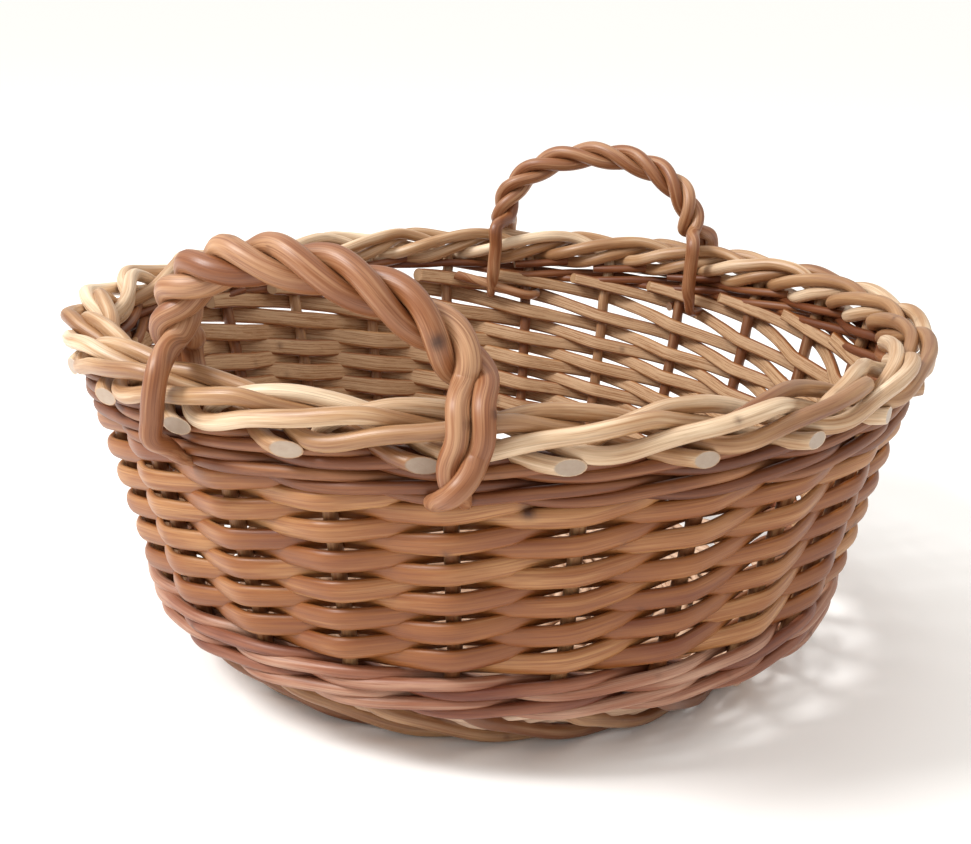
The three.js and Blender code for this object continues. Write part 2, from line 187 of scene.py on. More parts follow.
# %% Floor
FLOOR_HALF = 60.0
floor_corners = [(x * FLOOR_HALF, y * FLOOR_HALF, 0) for x, y in ((-1, -1), (1, -1), (1, 1), (-1, 1))]
floor_mesh = bpy.data.meshes.new("studio_floor")
floor_mesh.from_pydata(floor_corners, [], [(0, 1, 2, 3)])
floor = bpy.data.objects.new("studio_floor", floor_mesh)
bpy.context.scene.collection.objects.link(floor)
floor_paint, floor_output = new_material("matt_floor_paint")
matt_white = {"Base Color": linear("#fcfbf9"), "Roughness": 0.9}
floor_shader = add(floor_paint.node_tree, "ShaderNodeBsdfPrincipled", None, matt_white)
floor_paint.node_tree.links.new(floor_shader.outputs["BSDF"], floor_output.inputs["Surface"])
floor_mesh.materials.append(floor_paint)
print("Floor is", 2 * FLOOR_HALF, "m square")


# %% [markdown]
# ## Willow
#
# Peeled willow is smooth, slightly waxy wood. Its colour runs in faint streaks along the rod and changes
# from rod to rod, between cream, tan and a pinkish brown. Small scars mark where buds sat, the cut ends are
# greyer than the skin, and a split rod's flat side is paler and fibrous. Every rod therefore carries two
# attributes: its place in a straightened rod in metres, so that streaks follow every bend, and its marks:
# cut, scar, split and tone.
#
# The noises are scaled by real sizes, in features to the metre: patches about 7 cm long, streaks 6 cm long
# and about 2 mm wide, and fibres 3 cm long. Real fibres are under 0.2 mm wide, too fine to show, so they
# are drawn 0.5 mm wide.

# %% Willow values
PATCHES = (14, 30, 30)
STREAKS = (16, 420, 420)
FIBRES = (33, 1900, 1900)
NOISE_ROUGHNESS = 0.6
ROD_SHARE = 0.5
STREAK_SHARE = 0.75
PATCH_SHARE = 0.85
TONE_LEVEL = -0.56
DARK_STOP = 0.16
LIGHT_STOP = 0.86
DARK_FIBRE = 0.36
LINE_END = 0.5
GRAIN_END = 0.56
BUMP_STRENGTH = 0.4
BUMP_DEPTH = 0.5 * MM
SCAR_BROWN = "#4a2a18"
print("Streaks are", round(1000 / STREAKS[1], 1), "mm wide")


# %% Willow material
def willow(
    name, dark, middle, light, cut_wood, roughness, lines, split_light="#b99877", split_dark="#8f663f"
):
    """Skin colour = ramp(0.5 * rod's tone + 0.75 * streaks + 0.85 * patches - 0.56), darker by the share
    lines where fibres are dark. Split faces, scars and cut ends are mixed over it by their marks. Roughness
    is roughness - 0.1 + 0.2 * patches, and 0.25 more on a split face, whose relief is also stronger."""
    material, output = new_material(name)
    tree = material.node_tree
    place = add(tree, "ShaderNodeAttribute", {"attribute_name": "rod_place"}).outputs["Vector"]
    marks = add(tree, "ShaderNodeAttribute", {"attribute_name": "marks"})
    parts = add(tree, "ShaderNodeSeparateColor", None, {"Color": marks.outputs["Color"]})
    cut, scar, split = (parts.outputs[i] for i in range(3))

    noises = []
    for scale, detail in ((PATCHES, 2), (STREAKS, 4), (FIBRES, 3)):
        stretched = add(tree, "ShaderNodeMapping", None, {"Vector": place, "Scale": scale}).outputs["Vector"]
        settings = {"Vector": stretched, "Scale": 1.0, "Detail": detail, "Roughness": NOISE_ROUGHNESS}
        noises.append(add(tree, "ShaderNodeTexNoise", None, settings).outputs[0])
    patches, streaks, fibres = noises

    weighted = {"operation": "MULTIPLY_ADD"}
    own_tone = {0: marks.outputs["Alpha"], 1: ROD_SHARE, 2: TONE_LEVEL}
    tone = add(tree, "ShaderNodeMath", weighted, own_tone).outputs[0]
    tone = add(tree, "ShaderNodeMath", weighted, {0: streaks, 1: STREAK_SHARE, 2: tone}).outputs[0]
    tone = add(tree, "ShaderNodeMath", weighted, {0: patches, 1: PATCH_SHARE, 2: tone}).outputs[0]
    ramp = add(tree, "ShaderNodeValToRGB", None, {"Fac": tone})
    ramp.color_ramp.elements[0].position = DARK_STOP
    ramp.color_ramp.elements[0].color = linear(dark)
    ramp.color_ramp.elements[1].position = LIGHT_STOP
    ramp.color_ramp.elements[1].color = linear(light)
    ramp.color_ramp.elements.new(0.5).color = linear(middle)

    mixed = {"data_type": "RGBA"}
    from_dark = {"Value": fibres, "From Min": DARK_FIBRE}
    line = {**from_dark, "From Max": LINE_END, "To Min": lines, "To Max": 0.0}
    line = add(tree, "ShaderNodeMapRange", None, line).outputs["Result"]
    skin = add(tree, "ShaderNodeMix", mixed, {0: line, 6: ramp.outputs["Color"], 7: linear(dark)}).outputs[2]
    grain = {**from_dark, "From Max": GRAIN_END, "To Min": 0.0, "To Max": 1.0}
    grain = add(tree, "ShaderNodeMapRange", None, grain).outputs["Result"]
    split_wood = {0: grain, 6: linear(split_dark), 7: linear(split_light)}
    split_wood = add(tree, "ShaderNodeMix", mixed, split_wood).outputs[2]
    skin = add(tree, "ShaderNodeMix", mixed, {0: split, 6: skin, 7: split_wood}).outputs[2]
    skin = add(tree, "ShaderNodeMix", mixed, {0: scar, 6: skin, 7: linear(SCAR_BROWN)}).outputs[2]
    pith = add(tree, "ShaderNodeMix", mixed, {0: streaks, 6: linear(dark), 7: linear(cut_wood)}).outputs[2]
    pith = add(tree, "ShaderNodeMix", mixed, {0: 0.6, 6: pith, 7: linear(cut_wood)}).outputs[2]
    skin = add(tree, "ShaderNodeMix", mixed, {0: cut, 6: skin, 7: pith}).outputs[2]

    relief = add(tree, "ShaderNodeMath", weighted, {0: fibres, 1: 0.7, 2: streaks}).outputs[0]
    rough_relief = add(tree, "ShaderNodeMath", weighted, {0: split, 1: 0.7, 2: 0.8}).outputs[0]
    height = add(tree, "ShaderNodeMath", {"operation": "MULTIPLY"}, {0: relief, 1: rough_relief}).outputs[0]
    raised = {"Strength": BUMP_STRENGTH, "Distance": BUMP_DEPTH, "Height": height}
    bump = add(tree, "ShaderNodeBump", None, raised)
    gloss = add(tree, "ShaderNodeMath", weighted, {0: patches, 1: 0.2, 2: roughness - 0.1}).outputs[0]
    gloss = add(tree, "ShaderNodeMath", weighted, {0: split, 1: 0.25, 2: gloss}).outputs[0]
    surface = {"Base Color": skin, "Roughness": gloss, "Normal": bump.outputs["Normal"]}
    shader = add(tree, "ShaderNodeBsdfPrincipled", None, surface)
    tree.links.new(shader.outputs["BSDF"], output.inputs["Surface"])
    return material


# %% Willow finishes
# Peeled white willow, yellowed by age and handling: pale, smooth and satin.
border_willow = willow("peeled_willow_border", "#744424", "#ae855d", "#efd8b8", "#b3a290", 0.4, 0.35)

# Split tan willow: the round skin is satin, the split face paler, fibrous and dull.
weaver_willow = willow(
    "split_willow_weavers", "#6e3410", "#8f5627", "#bf8e5c", "#b4926c", 0.42, 0.45,
    split_light="#bd9a76", split_dark="#946942",
)

# Willow boiled in its bark and then peeled: pinkish brown, smooth, a little duller.
upsett_willow = willow("peeled_willow_upsett", "#622c18", "#90593d", "#c59f86", "#ac9078", 0.46, 0.4)

# Thin rods of the same kind in brown willow, also painted darker with the shade that the border casts on
# them: the darkest of the basket.
wale_willow_painted_shade = willow("brown_willow_wale_painted_shade", "#4a1f0b", "#713c1a", "#a16b40", "#a98a68", 0.48, 0.3)

# Thick rods twisted into ropes: tan to pinkish, with the strongest fibre lines, polished by hands.
handle_willow = willow("twisted_willow_handle", "#622e12", "#8b5632", "#ca9f78", "#8f735d", 0.42, 0.5)

# Pale rods that no hand has polished: the dullest of the basket.
base_willow = willow(
    "pale_willow_base", "#a07a5e", "#c8a68a", "#e4c8b0", "#bb9d82", 0.55, 0.25,
    split_light="#c3a68c", split_dark="#946c48",
)
print("Willow finishes:", [m.name for m in bpy.data.materials if "willow" in m.name])


# %% [markdown]
# ## Basket coordinates
#
# A weaver thinks in stakes, not in degrees. So places on the wall are given as a turn, counted in stake
# spacings, a distance outward from the stakes' axes and a height. The heights of the bands are read from
# the frame, so the dressed rods follow the construction. The plaited border is laid in lanes outward and in
# layers upward.

# %% Wall
STAKES = 24
SPACING = 2 * np.pi / STAKES
FIRST_STAKE = np.radians(-80)
STAKE = 6.0 * MM
LANE = 6.9 * MM
LAYER = 6.6 * MM
RIM_AXIS = 189.3 * MM
SHOULDER_AXIS = 157.2 * MM
FOOT_AXIS = 129.0 * MM
TOP_LAYER = 2.1
OUTER_LAYER = 1.35
BACK_OFFSET = 0.2
BACK_SPAN = 0.8

foot_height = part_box("upsett_wale_rod_1")[0][2]
upsett_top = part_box("upsett_wale_rod_3")[1][2]
weave_top = max(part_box(f"weaver_{i:02d}")[1][2] for i in range(1, STAKES + 1))
top_wale_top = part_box("top_wale_rod")[1][2]
rim_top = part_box("stake_01")[1][2]
border_low = rim_top - TOP_LAYER * LAYER - STAKE / 2
wall_slope = (RIM_AXIS - SHOULDER_AXIS) / (border_low + OUTER_LAYER * LAYER - foot_height)
bands = (foot_height, upsett_top, weave_top, top_wale_top, border_low, rim_top)
print("Bands in millimetres:", [round(h / MM, 1) for h in bands])


# %% Places on the wall
def cylinder(angle, radius, height):
    """A point from its angle, radius and height; each may be an array."""
    angle, radius, height = np.broadcast_arrays(angle, radius, height)
    return np.stack([radius * np.cos(angle), radius * np.sin(angle), height], axis=-1)


def wall_radius(height):
    """The radius of the stakes' axes grows evenly with height."""
    return SHOULDER_AXIS + (np.asarray(height) - foot_height) * wall_slope


def on_wall(turn, outward, height):
    """A point of the wall: the radius is that of the stakes' axes, and outward is added to it."""
    return cylinder(FIRST_STAKE + np.asarray(turn) * SPACING, wall_radius(height) + outward, height)


def backness(turn):
    """0 at the front and 1 well round the back: c = (sin(angle) + 0.2) / 0.8, held between 0 and 1 and eased
    as c * c * (3 - 2 * c). The weave stands higher at the back, and the wale over it is finer."""
    towards_back = np.sin(FIRST_STAKE + np.asarray(turn) * SPACING)
    share = np.clip((towards_back + BACK_OFFSET) / BACK_SPAN, 0, 1)
    return share * share * (3 - 2 * share)


print("Wall leans out by", round(float(np.degrees(np.arctan(wall_slope))), 1), "degrees")


# %% [markdown]
# ## Rods
#
# A rod is a closed outline carried along a path. The outline is a circle for a whole rod, and a circle with
# one flat side for a split one. Small slow changes of thickness, bud scars and oblique cuts make it a grown
# rod instead of a tube. Everything is computed on one grid, stations along the rod by corners round it.

# %% Smooth paths
def resample(curve, step):
    """Points at even distances of about step along a dense polyline."""
    lengths = np.concatenate([[0], np.cumsum(np.linalg.norm(np.diff(curve, axis=0), axis=1))])
    even = np.linspace(0, lengths[-1], max(int(lengths[-1] / step), 8))
    return np.stack([np.interp(even, lengths, curve[:, axis]) for axis in range(3)], axis=1)


def spline(points, step):
    """Natural cubic spline: cubics between the points, whose slopes and curvatures agree where they meet.

    Between two points a gap apart, with b the share of the way and a = 1 - b, the curve is a * first point +
    b * second point + ((a ** 3 - a) * first bend + (b ** 3 - b) * second bend) * gap ** 2 / 6."""
    points = np.asarray(points, dtype=float)
    gaps = np.linalg.norm(np.diff(points, axis=0), axis=1)
    knots = np.concatenate([[0], np.cumsum(gaps)])
    inner = np.arange(1, len(points) - 1)
    system = np.eye(len(points))
    system[inner, inner - 1] = gaps[:-1]
    system[inner, inner] = 2 * (gaps[:-1] + gaps[1:])
    system[inner, inner + 1] = gaps[1:]
    slopes = np.diff(points, axis=0) / gaps[:, None]
    right = np.zeros_like(points)
    right[inner] = 6 * np.diff(slopes, axis=0)
    bends = np.linalg.solve(system, right)
    fine = np.linspace(0, knots[-1], int(knots[-1] / step) * 4)
    k = np.clip(np.searchsorted(knots, fine, side="right") - 1, 0, len(gaps) - 1)
    gap = gaps[k][:, None]
    b = (fine - knots[k])[:, None] / gap
    a = 1 - b
    cubic = (a**3 - a) * bends[k] + (b**3 - b) * bends[k + 1]
    curve = a * points[k] + b * points[k + 1] + cubic * gap**2 / 6
    return resample(curve, step)


def distances(path):
    """Distance along a path at each of its points."""
    return np.concatenate([[0], np.cumsum(np.linalg.norm(np.diff(path, axis=0), axis=1))])


quarter = cylinder(np.linspace(0, np.pi / 2, 90), 1, 0)
print("A quarter circle of 1 m measures", distances(quarter)[-1].round(3), "m")

# %% Growth
SCAR_REACH = 1.6 * MM
SCAR_ANGLE = 0.45
SCAR_TURN = 2.4


def wander(distance, seed, wavelength):
    """Slow natural change between about -1 and 1: three sines of unrelated lengths with seeded phases.
    Their sizes are 1, 0.6 and 0.4, and the second and third swing 1.9 and 3.4 times as fast as the first."""
    first, second, third = np.random.default_rng(seed).uniform(0, 2 * np.pi, 3)
    turns = 2 * np.pi * distance / wavelength
    swell = np.sin(turns + first) + 0.6 * np.sin(1.9 * turns + second)
    return (swell + 0.4 * np.sin(3.4 * turns + third)) / 2


def bud_scars(distance, angles, seed, mean_gap):
    """Scars as bell shapes on the grid: strength * exp(-(run / reach) ** 2 - (turn / angle) ** 2) round each
    middle. There is one in every mean gap, each 2.4 radians further round the rod than the one before."""
    random = np.random.default_rng(seed + 5000)
    count = max(int(distance[-1] / mean_gap), 1)
    places = (np.arange(count) + random.uniform(0.2, 0.8, count)) * mean_gap
    sides = np.arange(count) * SCAR_TURN + random.uniform(0, 6.28)
    strength = random.uniform(0.0, 1.0, count) ** 2
    along = (distance[:, None, None] - places) / SCAR_REACH
    around = np.angle(np.exp(1j * (angles[None, :, None] - sides))) / SCAR_ANGLE
    return (strength * np.exp(-along**2 - around**2)).sum(axis=2)


print("Growth at five places:", wander(np.linspace(0, 0.2, 5), 1, 0.06).round(2))

# %% Rod measures
ROUND_SIDES = 16
CUT_LENGTH = 14 * MM
BEVEL = 0.86
SWELL = 0.035
SWELL_LENGTH = 60 * MM
SCAR_SWELL = 0.09
FIBRE_RAGGED = 0.05
FIBRE_LENGTH = 11 * MM
KNOT_REACH = 2.8 * MM
KNOT_STRENGTH = 1.2
KNOTS = [(0.0121, -0.1830, 0.1251), (-0.0204, -0.1956, 0.1902)]
SHARP_EDGE = np.radians(50)
UP = np.array([0.0, 0.0, 1.0])
print("A rod has", ROUND_SIDES, "corners round it")


# %% Rod surface
def rod(
    name, path, thickness, facing, seed, material, width=None, flat=None, slants=(0, 0), scar_gap=0.07,
    tone_shift=0.0, tone_range=0.7,
):
    """One closed rod along a path.

    Corner = path + facing * x + side * y, with x = cos(angle) * thickness / 2 and y = sin(angle) *
    width / 2, where facing is made square to the path. A flat side cuts x off at -flat of its half. Near the
    ends, corners slide along the rod by slant * x, which makes an oblique cut. A knot darkens the corners
    near its middle."""
    count = len(path)
    tangent = np.gradient(path, axis=0)
    tangent /= np.linalg.norm(tangent, axis=1, keepdims=True)
    out = facing - (facing * tangent).sum(axis=1, keepdims=True) * tangent
    out /= np.linalg.norm(out, axis=1, keepdims=True)
    side = np.cross(tangent, out)
    distance = distances(path)

    angles = np.arange(ROUND_SIDES) / ROUND_SIDES * 2 * np.pi
    scars = bud_scars(distance, angles, seed, scar_gap)
    growth = 1 + SWELL * wander(distance, seed, SWELL_LENGTH)[:, None] + SCAR_SWELL * scars
    half_x = np.broadcast_to(thickness, count)[:, None] / 2 * growth
    half_y = np.broadcast_to(thickness if width is None else width, count)[:, None] / 2 * growth
    across = np.broadcast_to(np.cos(angles), (count, ROUND_SIDES)).copy()
    is_split = np.zeros_like(across)
    if flat is not None:
        fibre = FIBRE_RAGGED * wander(distance[:, None] + angles * 0.3, seed + 1, FIBRE_LENGTH)
        is_split = np.clip((-flat + 0.1 - across) / 0.2, 0, 1)
        across = np.maximum(across, -flat + fibre)
    x = across * half_x
    y = np.sin(angles) * half_y

    near_start = np.clip(1 - distance / CUT_LENGTH, 0, 1) ** 2
    near_end = np.clip(1 - (distance[-1] - distance) / CUT_LENGTH, 0, 1) ** 2
    slide = (near_start * slants[0] + near_end * slants[1])[:, None] * x
    body = path[:, None] + out[:, None] * x[..., None] + side[:, None] * y[..., None]
    body = body + tangent[:, None] * slide[..., None]
    for middle in KNOTS:
        scars = scars + KNOT_STRENGTH * np.exp(-(((body - np.array(middle)) / KNOT_REACH) ** 2).sum(axis=2))

    def cap(i):
        """A bevel ring and a middle point that close one end."""
        middle = body[i].mean(axis=0)
        return middle + (body[i] - middle) * BEVEL, middle[None]

    (start_ring, start_middle), (end_ring, end_middle) = cap(0), cap(-1)
    rings = np.concatenate([start_ring[None], body, end_ring[None]])
    corners = np.concatenate([rings.reshape(-1, 3), start_middle, end_middle])

    start = np.random.default_rng(seed + 9000).uniform(0, 40)
    tone = 0.5 + tone_range * np.random.default_rng(seed + 9100).uniform(-0.5, 0.5)
    place = np.stack([np.broadcast_to(distance[:, None] + start, x.shape), x, y], axis=-1)
    bevelled = (1, BEVEL, BEVEL)
    place = np.concatenate([place[:1] * bevelled, place, place[-1:] * bevelled]).reshape(-1, 3)
    place = np.concatenate([place, [[start, 0, 0], [start + distance[-1], 0, 0]]])
    marks = np.zeros((count + 2, ROUND_SIDES, 4))
    station_tone = tone + np.broadcast_to(tone_shift, count)
    marks[..., 3] = np.concatenate([station_tone[:1], station_tone, station_tone[-1:]])[:, None]
    marks[1:-1, :, 1] = np.clip(scars, 0, 1)
    marks[1:-1, :, 2] = is_split
    marks[[0, -1], :, 0] = 1
    marks = np.concatenate([marks.reshape(-1, 4), [[1, 0, 0, tone]] * 2])

    row = np.arange(count + 1)[:, None] * ROUND_SIDES
    this = np.arange(ROUND_SIDES)
    after = (this + 1) % ROUND_SIDES
    quads = np.stack([row + this, row + after, row + ROUND_SIDES + after, row + ROUND_SIDES + this], axis=-1)
    last = (count + 1) * ROUND_SIDES
    middle = last + ROUND_SIDES
    caps = [(middle, b, a) for a, b in zip(this, after)]
    caps += [(middle + 1, last + a, last + b) for a, b in zip(this, after)]
    mesh = bpy.data.meshes.new(name)
    mesh.from_pydata(corners.tolist(), [], quads.reshape(-1, 4).tolist() + caps)
    mesh.shade_smooth()
    mesh.set_sharp_from_angle(angle=SHARP_EDGE)
    mesh.attributes.new("rod_place", "FLOAT_VECTOR", "POINT").data.foreach_set("vector", place.ravel())
    mesh.attributes.new("marks", "FLOAT_COLOR", "POINT").data.foreach_set("color", marks.ravel())
    mesh.materials.append(material)
    piece = bpy.data.objects.new(name, mesh)
    bpy.context.scene.collection.objects.link(piece)
    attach(piece, "root")
    return piece


# %% Facing and joining
def outward_from_axis(path, slope=0.0):
    """Unit vectors away from the basket's axis, tilted down by slope where the wall flares."""
    away_from_axis = path * (1, 1, 0)
    away_from_axis /= np.linalg.norm(away_from_axis, axis=1, keepdims=True)
    return away_from_axis - UP * slope


def upward(path):
    """A vector straight up for each point of a path."""
    return np.broadcast_to(UP, path.shape)


def join(pieces, name, node):
    """One piece from several rods, in the first one's mesh, that stands for one node."""
    chosen = {"active_object": pieces[0], "selected_editable_objects": pieces, "object": pieces[0]}
    with bpy.context.temp_override(**chosen):
        bpy.ops.object.join()
    pieces[0].name = name
    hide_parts(node)
    return pieces[0]


print("Outward at one metre on x:", outward_from_axis(np.array([[1.0, 0.0, 0.5]]))[0])

# %% [markdown]
# ## Stakes, foot and border
#
# One rod does three jobs. Its butt end crosses the foot down to the floor, its middle is an upright of the
# wall, and its thin end is a stroke of the border: behind one stake, in front of two, behind one, and cut
# off outside. The path is a smooth curve through the few places that such a stroke has to pass, so all rods
# lie close to each other. The border carries painted light, lightest at the back on the left, and every rod
# has bleached at its tip.

# %% Stake courses
# Each place of the border is a turn, a lane outward and a layer upward. Each place of the foot is a turn, and
# a height and a distance inward from the foot's cone, both in millimetres.
BORDER_PATH = [
    (0.0, 0.0, 0.1), (0.06, 0.0, 0.62), (0.2, -0.05, 1.22), (0.38, -0.22, 1.74), (0.58, -0.6, 2.03),
    (0.78, -1.02, 2.0), (1.0, -1.42, 1.76), (1.25, -1.64, 1.36), (1.45, -1.45, 0.92), (1.6, -0.95, 0.56),
    (1.75, -0.2, 0.26), (1.9, 0.62, 0.05), (2.1, 1.18, 0.0), (2.5, 1.2, 0.75), (2.95, 1.12, 1.35),
    (3.25, 0.95, 1.75), (3.45, 0.6, 1.8), (3.6, 0.2, 1.52), (3.78, -0.45, 1.1), (4.0, -0.98, 0.64),
    (4.25, -0.75, 0.02), (4.5, 0.3, -0.3), (4.68, 1.12, -0.47), (4.84, 1.56, -0.57),
]
FOOT_PATH = [
    (2.15, 3.5, 5.4), (1.85, 3.5, 3.6), (1.6, 3.5, 1.8), (1.3, 5.2, 0.0), (1.0, 8.4, 0.0), (0.5, 17.6, 0.0),
    (0.18, 25.6, 0.0),
]
PATH_STEP = 1.3 * MM
LANE_WOBBLE = 0.02
LAYER_WOBBLE = 0.015
foot_slope = (SHOULDER_AXIS - FOOT_AXIS) / (foot_height - STAKE)
print("The foot leans out by", round(float(np.degrees(np.arctan(foot_slope))), 1), "degrees")


# %% Stake paths
def foot_point(turn, height, inward):
    """The foot is a cone: its radius grows with height by foot_slope."""
    radius = FOOT_AXIS + (height - STAKE / 2) * foot_slope - inward
    return cylinder(FIRST_STAKE + turn * SPACING, radius, height)


def stake_path(stake):
    """A spline through the foot's, the upright's and the border's places. The border's are moved at random by
    about a tenth of a millimetre."""
    random = np.random.default_rng(stake + 100)
    foot = [foot_point(stake + turn, height * MM, inward * MM) for turn, height, inward in FOOT_PATH]
    upright_heights = np.linspace(foot_height + STAKE / 2, border_low - 2 * STAKE, 6)
    upright = on_wall(stake, 0.0, upright_heights)
    border = []
    for turn, lane, layer in BORDER_PATH:
        lane = lane + random.normal(0, LANE_WOBBLE)
        layer = layer + random.normal(0, LAYER_WOBBLE)
        border.append(on_wall(stake + turn, lane * LANE, border_low + layer * LAYER))
    return spline([*foot, *upright, *border], PATH_STEP)


print("Each stake rod is", round(distances(stake_path(0))[-1], 2), "m long")

# %% Stake thickness and tone
# Thickness by the share of a rod's length, and tone by height in metres: brown up to the top wale, then pale.
FOOT_ROD = 6.6 * MM
UPRIGHT_ROD = 6.2 * MM
BORDER_ROD = 6.8 * MM
SIZE_SHARES = [0, 0.22, 0.28, 0.5, 0.56, 1]
SIZES = [FOOT_ROD, FOOT_ROD, UPRIGHT_ROD, UPRIGHT_ROD, BORDER_ROD, BORDER_ROD]
TONE_HEIGHTS = [0, 0.03, 0.05, 0.125, 0.15]
TONES = [-0.45, -0.5, -0.55, -0.5, 0]
# Painted light: the border is painted lighter the nearer it lies to the angle below, at the back on the left;
# the share after it is the most that is added.
PAINTED_LIGHT_ANGLE = np.radians(140)
PAINTED_SIDE_LIGHT = 0.36
TIP_BLEACH = 0.25
TIP_LENGTH = 15 * MM
print("The border is palest at", round(float(np.degrees(PAINTED_LIGHT_ANGLE))), "degrees")


# %% Stake rods
def stake_tone(path):
    """Tone by height, plus painted light of 0.36 * (0.5 + 0.5 * cos(angle from the most lit side)) in the
    border, plus 0.25 at the tip, fading over 15 mm."""
    by_height = np.interp(path[:, 2], TONE_HEIGHTS, TONES)
    painted_light_share = 0.5 + 0.5 * np.cos(np.arctan2(path[:, 1], path[:, 0]) - PAINTED_LIGHT_ANGLE)
    by_height += PAINTED_SIDE_LIGHT * painted_light_share * np.clip((path[:, 2] - border_low) / STAKE + 1, 0, 1)
    from_tip = distances(path)[-1] - distances(path)
    return by_height + TIP_BLEACH * np.clip(1 - from_tip / TIP_LENGTH, 0, 1)


for stake in range(STAKES):
    path = stake_path(stake)
    thickness = np.interp(np.linspace(0, 1, len(path)), SIZE_SHARES, SIZES)
    name = f"stake_{stake + 1:02d}"
    piece = rod(
        f"{name}_rod", path, thickness, outward_from_axis(path), 100 + stake, border_willow,
        slants=(0.6, -1.7), tone_shift=stake_tone(path),
    )
    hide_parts(name)
print("Made", STAKES, "stake rods")

# %% [markdown]
# ## Wall weavers
#
# Each weaver is a split rod, round outside and flat inside. It passes behind one stake and in front of the
# next, and rises by one row at every stake, so 24 of them wind up the wall together. At its stake a rod
# stands out by half the stake and half its own thickness, and halfway between stakes it crosses from inside
# to outside. At the back, the rods rise by one more row near their ends, and the last ends lean inward over
# the wale. The rods at the back on the right are finer, and let light through.

# %% Weaver measures
WEAVER_THICKNESS = 5.2 * MM
WEAVER_HEIGHT = 10.2 * MM
FLAT_SIDE = 0.55
STROKES = 13
TAIL_TURN = 0.42
TAIL_LEAN = 0.8
STRAIGHTNESS = 0.95
PRESSED = 0.2 * MM
ROW_RISE = 6.69 * MM
FIRST_ROW = 0.8
LIFT_START = 9
LIFT_TURNS = 3
HEIGHT_WOBBLE = 0.3 * MM
REACH_WOBBLE = 0.2 * MM
FINER = 0.22
WEAVER_STEP = 0.03
HEIGHT_WAVE = 130 * MM
REACH_WAVE = 100 * MM
weave_low = upsett_top - 2.7 * MM
print("Rows rise by", round(ROW_RISE / MM, 2), "mm at each stake")


# %% Weaver paths
def weaver_path(stake, seed):
    """Outward = -reach * arcsin(0.95 * cos(pi * turn)) / arcsin(0.95): straight from stake to stake, with a
    small round bend at each. Height rises evenly with turn, and by one more row at the back. Past the first
    and last stake the ends stay inside the wall and lean inward."""
    turn = np.arange(-TAIL_TURN, STROKES - 1 + TAIL_TURN, WEAVER_STEP)
    reach = (UPRIGHT_ROD + WEAVER_THICKNESS) / 2 - PRESSED
    shape = -np.arcsin(STRAIGHTNESS * np.cos(np.pi * turn)) / np.arcsin(STRAIGHTNESS)
    over_end = np.maximum(turn - (STROKES - 1), -turn)
    shape = np.where(over_end > 0, -1 - TAIL_LEAN * over_end, shape)
    distance = turn * SPACING * RIM_AXIS
    lift = np.clip((turn - LIFT_START) / LIFT_TURNS, 0, 1) * backness(stake + turn)
    uneven = HEIGHT_WOBBLE * wander(distance, seed, HEIGHT_WAVE)
    height = weave_low + (turn + FIRST_ROW + lift) * ROW_RISE + uneven
    outward = reach * shape + REACH_WOBBLE * wander(distance, seed + 7, REACH_WAVE)
    return turn, on_wall(stake + turn, outward, height)


def weaver_width(stake, turn):
    """How high a weaver stands: tapered from butt to tip, 22% less at the back on the right, and 7% less
    between the stakes."""
    taper = np.interp(turn, [0, STROKES - 2, STROKES], [1.03, 0.92, 0.74])
    on_the_right = np.clip(0.4 + 2.5 * np.cos(FIRST_STAKE + (stake + turn) * SPACING), 0, 1)
    finer_at_back = 1 - FINER * backness(stake + turn) * on_the_right
    return WEAVER_HEIGHT * taper * finer_at_back * (0.93 + 0.07 * np.abs(np.cos(np.pi * turn)))


print("A weaver is", round(distances(weaver_path(0, 300)[1])[-1], 2), "m long")

# %% Weaver rods
for stake in range(STAKES):
    seed = 300 + stake
    turn, path = weaver_path(stake, seed)
    name = f"weaver_{stake + 1:02d}"
    piece = rod(
        f"{name}_rod", path, WEAVER_THICKNESS, outward_from_axis(path, wall_slope), seed, weaver_willow,
        width=weaver_width(stake, turn), flat=FLAT_SIDE, slants=(0.3, 0.9),
    )
    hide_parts(name)
print("Made", STAKES, "weavers")

# %% [markdown]
# ## Wales
#
# Waling is woven with three rods in turn, each in front of two stakes and behind one. A rod comes out low,
# crosses over the two others and goes in high, which gives the slanted strokes of a cord. Two rounds of it
# join the wall to the foot, and two thinner rounds lock the weave under the border.

# %% Wale paths
SEAM = STAKES / 2
STROKE_SWING = 0.289


def wale_path(turn, rod_number, low, high, thickness):
    """With w counting a stroke from 0 to 3 stakes and p = 2 pi (w - 1.5) / 3, outward = reach * (1/3 + cos p
    - cos(2p) / 3). Two rounds share the height from low to high, each a band. In its band the rod's height is
    the middle + 0.289 * band * sin p, so the two rods in front of a stake lie half a band apart."""
    w = turn + rod_number
    p = 2 * np.pi * (w - 1.5) / 3
    reach = (UPRIGHT_ROD + thickness) / 2 - PRESSED
    outward = reach * (1 / 3 + np.cos(p) - np.cos(2 * p) / 3)
    climbed = np.clip(turn - STAKES + 1, 0, 1)
    band = (high - low) / 2
    height = low + (0.5 + climbed) * band + STROKE_SWING * band * np.sin(p)
    return on_wall(turn + SEAM, outward, height)


def wale_turns(rod_number, step):
    """A rod starts and ends behind a stake near the seam, and each starts a stake earlier than the last."""
    first = 3 - rod_number
    last = first + 3 * ((2 * STAKES - 1 - first) // 3)
    return np.arange(first - 0.2, last + 0.2, step)


print("Wale rods start after", [round(wale_turns(number, 1)[0], 1) for number in range(3)], "spacings")

# %% Upsett wale
UPSETT_ROD = 5.5 * MM
UPSETT_DROP = 1.5 * MM
UPSETT_STEP = 0.035
for number in range(3):
    turn = wale_turns(number, UPSETT_STEP)
    path = wale_path(turn, number, foot_height - UPSETT_DROP, upsett_top, UPSETT_ROD)
    piece = rod(
        f"upsett_wale_rod_{number + 1}_whole", path, UPSETT_ROD, outward_from_axis(path), 500 + number,
        upsett_willow, slants=(0.5, 0.5),
    )
    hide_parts(f"upsett_wale_rod_{number + 1}")
print("An upsett rod is", round(distances(path)[-1], 2), "m long")

